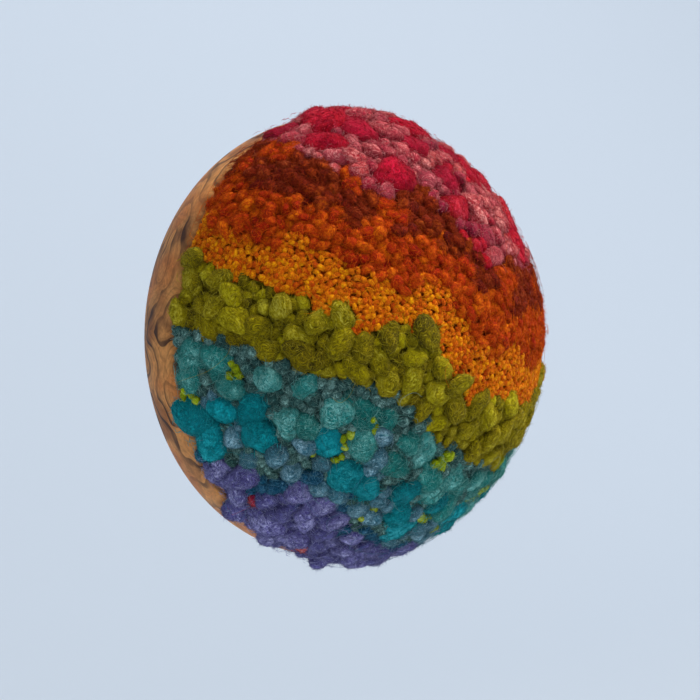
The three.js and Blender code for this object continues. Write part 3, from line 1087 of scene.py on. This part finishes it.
def yarn_parts(name, yarn):
    """The loops of one yarn and all that grows on them."""
    chosen = np.flatnonzero(loops.yarn == name)
    large = loops.radius[chosen] > LARGE_RADIUS
    kinds = [(LARGE_BALL, chosen[large]), (SMALL_BALL, chosen[~large])]
    if name == FINE_YARN:
        kinds = [(ARCH, chosen)]
    for kind, own in kinds:
        if len(own):
            body = copies(kind, yarn, own)
            yield body.points, body.triangles, body.sheet
            yield lying_fibres(*roots_on(body, yarn.lying, own), yarn.scale, yarn.loose)
            yield standing_fibres(*roots_on(body, yarn.standing, own), yarn.scale)
    yield lying_fibres(*between_loops(chosen, yarn.crossing), yarn.scale, loose=1, darkest=0.6)
    if yarn.hairs:
        yield stray_hairs(loops.centre[rng.choice(chosen, yarn.hairs)])


wool_pieces = {}
for name in YARNS:
    parts = list(yarn_parts(name, YARN_SHAPES[name]))
    wool_pieces[name] = mesh_piece("wool_" + name, *joined(parts))
    print(name, (loops.yarn == name).sum(), "loops, triangles in its parts:",
          [len(triangles) for _, triangles, _ in parts])
print("wool triangles:", sum(len(piece.data.polygons) for piece in wool_pieces.values()))

# %% [markdown]
# ## Wool
#
# Dyed wool is matt. Light goes in between its fibres and comes out softly at the edges, which the sheen
# of the shader gives. No two handfuls of wool take the dye alike, so each square of the map is a shade
# of its own. Fine fibres swirl over each loop: the place on its square is turned by a slow noise, drawn
# out along one direction and read as a fine noise, twice, so that the fibres cross. Shade is painted on
# each loop: it is lighter on top and darker down its sides, where its neighbours shade it. The strip
# along the top of the map colours the loose fibres.

# %% Wool, dyed and felted
Dye = namedtuple("Dye", "deep middle light fibre")
DYES = {
    "raspberry": Dye("#4c020a", "#8a0616", "#ac0e24", "#d44c5c"),
    "turquoise": Dye("#013a40", "#02626a", "#058890", "#44b6ba"),
    "pink": Dye("#420c14", "#862634", "#aa404a", "#d88a88"),
    "rust": Dye("#240806", "#5a120a", "#80220a", "#b0502c"),
    "orange": Dye("#5a0e02", "#962003", "#be3a04", "#e06e1c"),
    "gold": Dye("#9c3604", "#bc4a04", "#dc6c08", "#f6a42c"),
    "olive": Dye("#1e1a04", "#605302", "#948202", "#c4b444"),
    "sage": Dye("#0c2224", "#20403e", "#3b5f5a", "#94bab0"),
    "seafoam": Dye("#083e3c", "#1a6862", "#348c84", "#94d0c6"),
    "dusty_blue": Dye("#14303c", "#2d535f", "#467684", "#a0c2cc"),
    "deep_blue": Dye("#041a28", "#0b384e", "#165270", "#6c9cb6"),
    "violet": Dye("#1e1a3a", "#443e70", "#65609a", "#b4b2d8"),
    "chartreuse": Dye("#465208", "#74860a", "#98a812", "#c4cc60"),
}
FIBRE_WIDTH = 0.15  # in mm, a few times as coarse as real wool, so that it shows
SWIRL_WIDTH = 2.6  # in mm, how far the fibres run before they turn
SWIRL_TURN = 9  # in radians, how far a swirl can turn them
SHIFT = 30  # between the patterns of two squares


def wool(name, dye):
    material, tree, shader = new_material(
        "wool_dyed_" + name, Roughness=0.95, Specular_IOR_Level=0.15, Sheen_Weight=0.35, Sheen_Roughness=0.5,
        Sheen_Tint=colour(dye.fibre))
    radius_mm = float(np.sqrt((loops.radius[loops.yarn == name] ** 2).mean())) / MM
    square_mm = math.pi * radius_mm / SQUARE_SHARE
    node = partial(add_node, tree)
    place = node("UVMap", uv_map="OFBake")

    # Which square, and where on it
    scaled = node("VectorMath", {0: place, "Scale": SQUARES_ACROSS}, operation="SCALE")
    square = node("VectorMath", {0: scaled}, operation="FLOOR")
    shade = node("TexWhiteNoise", {"Vector": square}, noise_dimensions="2D")
    tint = shade.node.outputs["Color"]
    inside = node("VectorMath", {0: scaled}, operation="FRACTION")
    centred = node("VectorMath", {0: inside, 1: (-0.5, -0.5, 0)}, operation="ADD")
    # Painted shade: a loop is lighter at its top, the middle of its square, and darker down its sides
    off_middle = node("VectorMath", {0: centred}, out="Value", operation="LENGTH")
    painted_top_light = node("MapRange", {
        "Value": off_middle, "From Min": 0.05, "From Max": 0.32, "To Min": 1, "To Max": 0})

    # Two layers of swirling fibres
    swirl = node("TexNoise", {
        "Vector": scaled, "Scale": square_mm / SWIRL_WIDTH, "Detail": 2}, noise_dimensions="2D")
    layers = []
    for turn in (0.0, 1.7):
        angle = node("Math", {0: swirl, 1: SWIRL_TURN + turn, 2: turn}, operation="MULTIPLY_ADD")
        turned = node("VectorRotate", {"Vector": centred, "Angle": angle}, rotation_type="Z_AXIS")
        spread = node("VectorMath", {0: tint, "Scale": SHIFT + turn}, operation="SCALE")
        drawn = node("VectorMath", {0: turned, 1: (1, 0.4, 1), 2: spread}, operation="MULTIPLY_ADD")
        layers.append(node("TexNoise", {
            "Vector": drawn, "Scale": square_mm / FIBRE_WIDTH, "Detail": 1}))
    strands = node("Math", {0: layers[0], 1: layers[1]}, operation="MAXIMUM")

    # How light the wool is: the dye's own luck, the swirls, the painted shade from top to sides and the
    # strands add up
    lightness = -1.02
    for source, share in ((shade, 0.4), (swirl, 0.6), (painted_top_light, 0.3), (strands, 1.6)):
        lightness = node("Math", {0: source, 1: share, 2: lightness}, operation="MULTIPLY_ADD")
    body = node("ValToRGB", {"Fac": lightness}, stops=[
        (at, colour(step)) for at, step in zip((0.1, 0.45, 0.72, 1.0), dye)])

    # Loose fibres: from the dye itself to paler ones
    across = node("SeparateXYZ", {"Vector": place})
    paler = node("ValToRGB", {"Fac": across}, stops=[
        (at, colour(step)) for at, step in zip((0.0, 0.55, 1.0), dye[1:])])
    is_fibre = node("Math", {0: across.node.outputs["Y"], 1: FIBRE_STRIP}, operation="GREATER_THAN")
    shown = node("Mix", {"Factor": is_fibre, "A": body, "B": paler}, out="Result", data_type="RGBA")
    luck = node("SeparateXYZ", {"Vector": tint})
    hue = node("MapRange", {"Value": luck, "To Min": 0.494, "To Max": 0.506})
    depth = node("MapRange", {"Value": luck.node.outputs["Y"], "To Min": 1.0, "To Max": 1.12})
    tinted = node("HueSaturation", {"Color": shown, "Hue": hue, "Saturation": depth})
    finish_surface(shader, tinted, strands, strength=0.6, distance=0.25 * MM)
    return material


for name, piece in wool_pieces.items():
    piece.data.materials.append(wool(name, DYES[name]))
    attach(piece, "root")
print("wool materials:", len(wool_pieces))

# %% [markdown]
# Down between the loops the wool is in shade. The filled cloth takes the middle shade of the yarn that
# is punched into it, read from its stripe coordinate with a colour ramp. A noise dims it, most in the
# low spots of its tufts where the bump dips: painted shade there, as well as uneven tone.

# %% The foot of the pile
STRIPE_SPAN = 60
STRIPE_DYES = [
    (-36, "violet"), (-30, "deep_blue"), (-20, "turquoise"), (-6, "sage"), (6, "olive"), (17, "gold"),
    (26, "orange"), (34, "rust"), (60, "pink"),
]


def pile_foot():
    material, tree, shader = new_material("wool_pile_foot", Roughness=1.0, Specular_IOR_Level=0.1)
    node = partial(add_node, tree)
    stripe_value = node("Attribute", out="Fac", attribute_name="stripe")
    along = node("MapRange", {
        "Value": stripe_value, "From Min": -STRIPE_SPAN, "From Max": STRIPE_SPAN})
    stops, start = [], 0.0
    for end, name in STRIPE_DYES:
        stops.append((start, colour(DYES[name].middle)))
        start = (end + STRIPE_SPAN) / (2 * STRIPE_SPAN)
    shown = node("ValToRGB", {"Fac": along}, stops=stops)
    shown.node.color_ramp.interpolation = "CONSTANT"
    place = node("TexCoord", out="Object")
    tufts = node("TexNoise", {"Vector": place, "Scale": 1 / (0.8 * MM), "Detail": 3})
    # Painted shade: the cloth is dimmed down to 0.6 in the low spots of its tufts, where the bump dips
    dim = node("MapRange", {
        "Value": tufts, "From Min": 0.3, "From Max": 0.7, "To Min": 0.6, "To Max": 1})
    shaded = node("VectorMath", {0: shown, "Scale": dim}, operation="SCALE")
    finish_surface(shader, shaded, tufts, strength=0.8, distance=0.4 * MM)
    return material


pad.data.materials.append(pile_foot())
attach(pad, "root")
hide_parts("pad")
print("dyes under the pile:", len(STRIPE_DYES))

# %% [markdown]
# ## The frame's box beside the finished one
#
# Both boxes are printed, and the cell ends with the two side by side, so that the finished model can be
# set beside the imported one.

# %% Sizes and the end
visual_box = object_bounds()
print("visual box in mm:", [[round(side / MM, 1) for side in corner] for corner in visual_box])
boxes = {"cad": cad_box, "visual": visual_box}
{name: [list(corner) for corner in box] for name, box in boxes.items()}
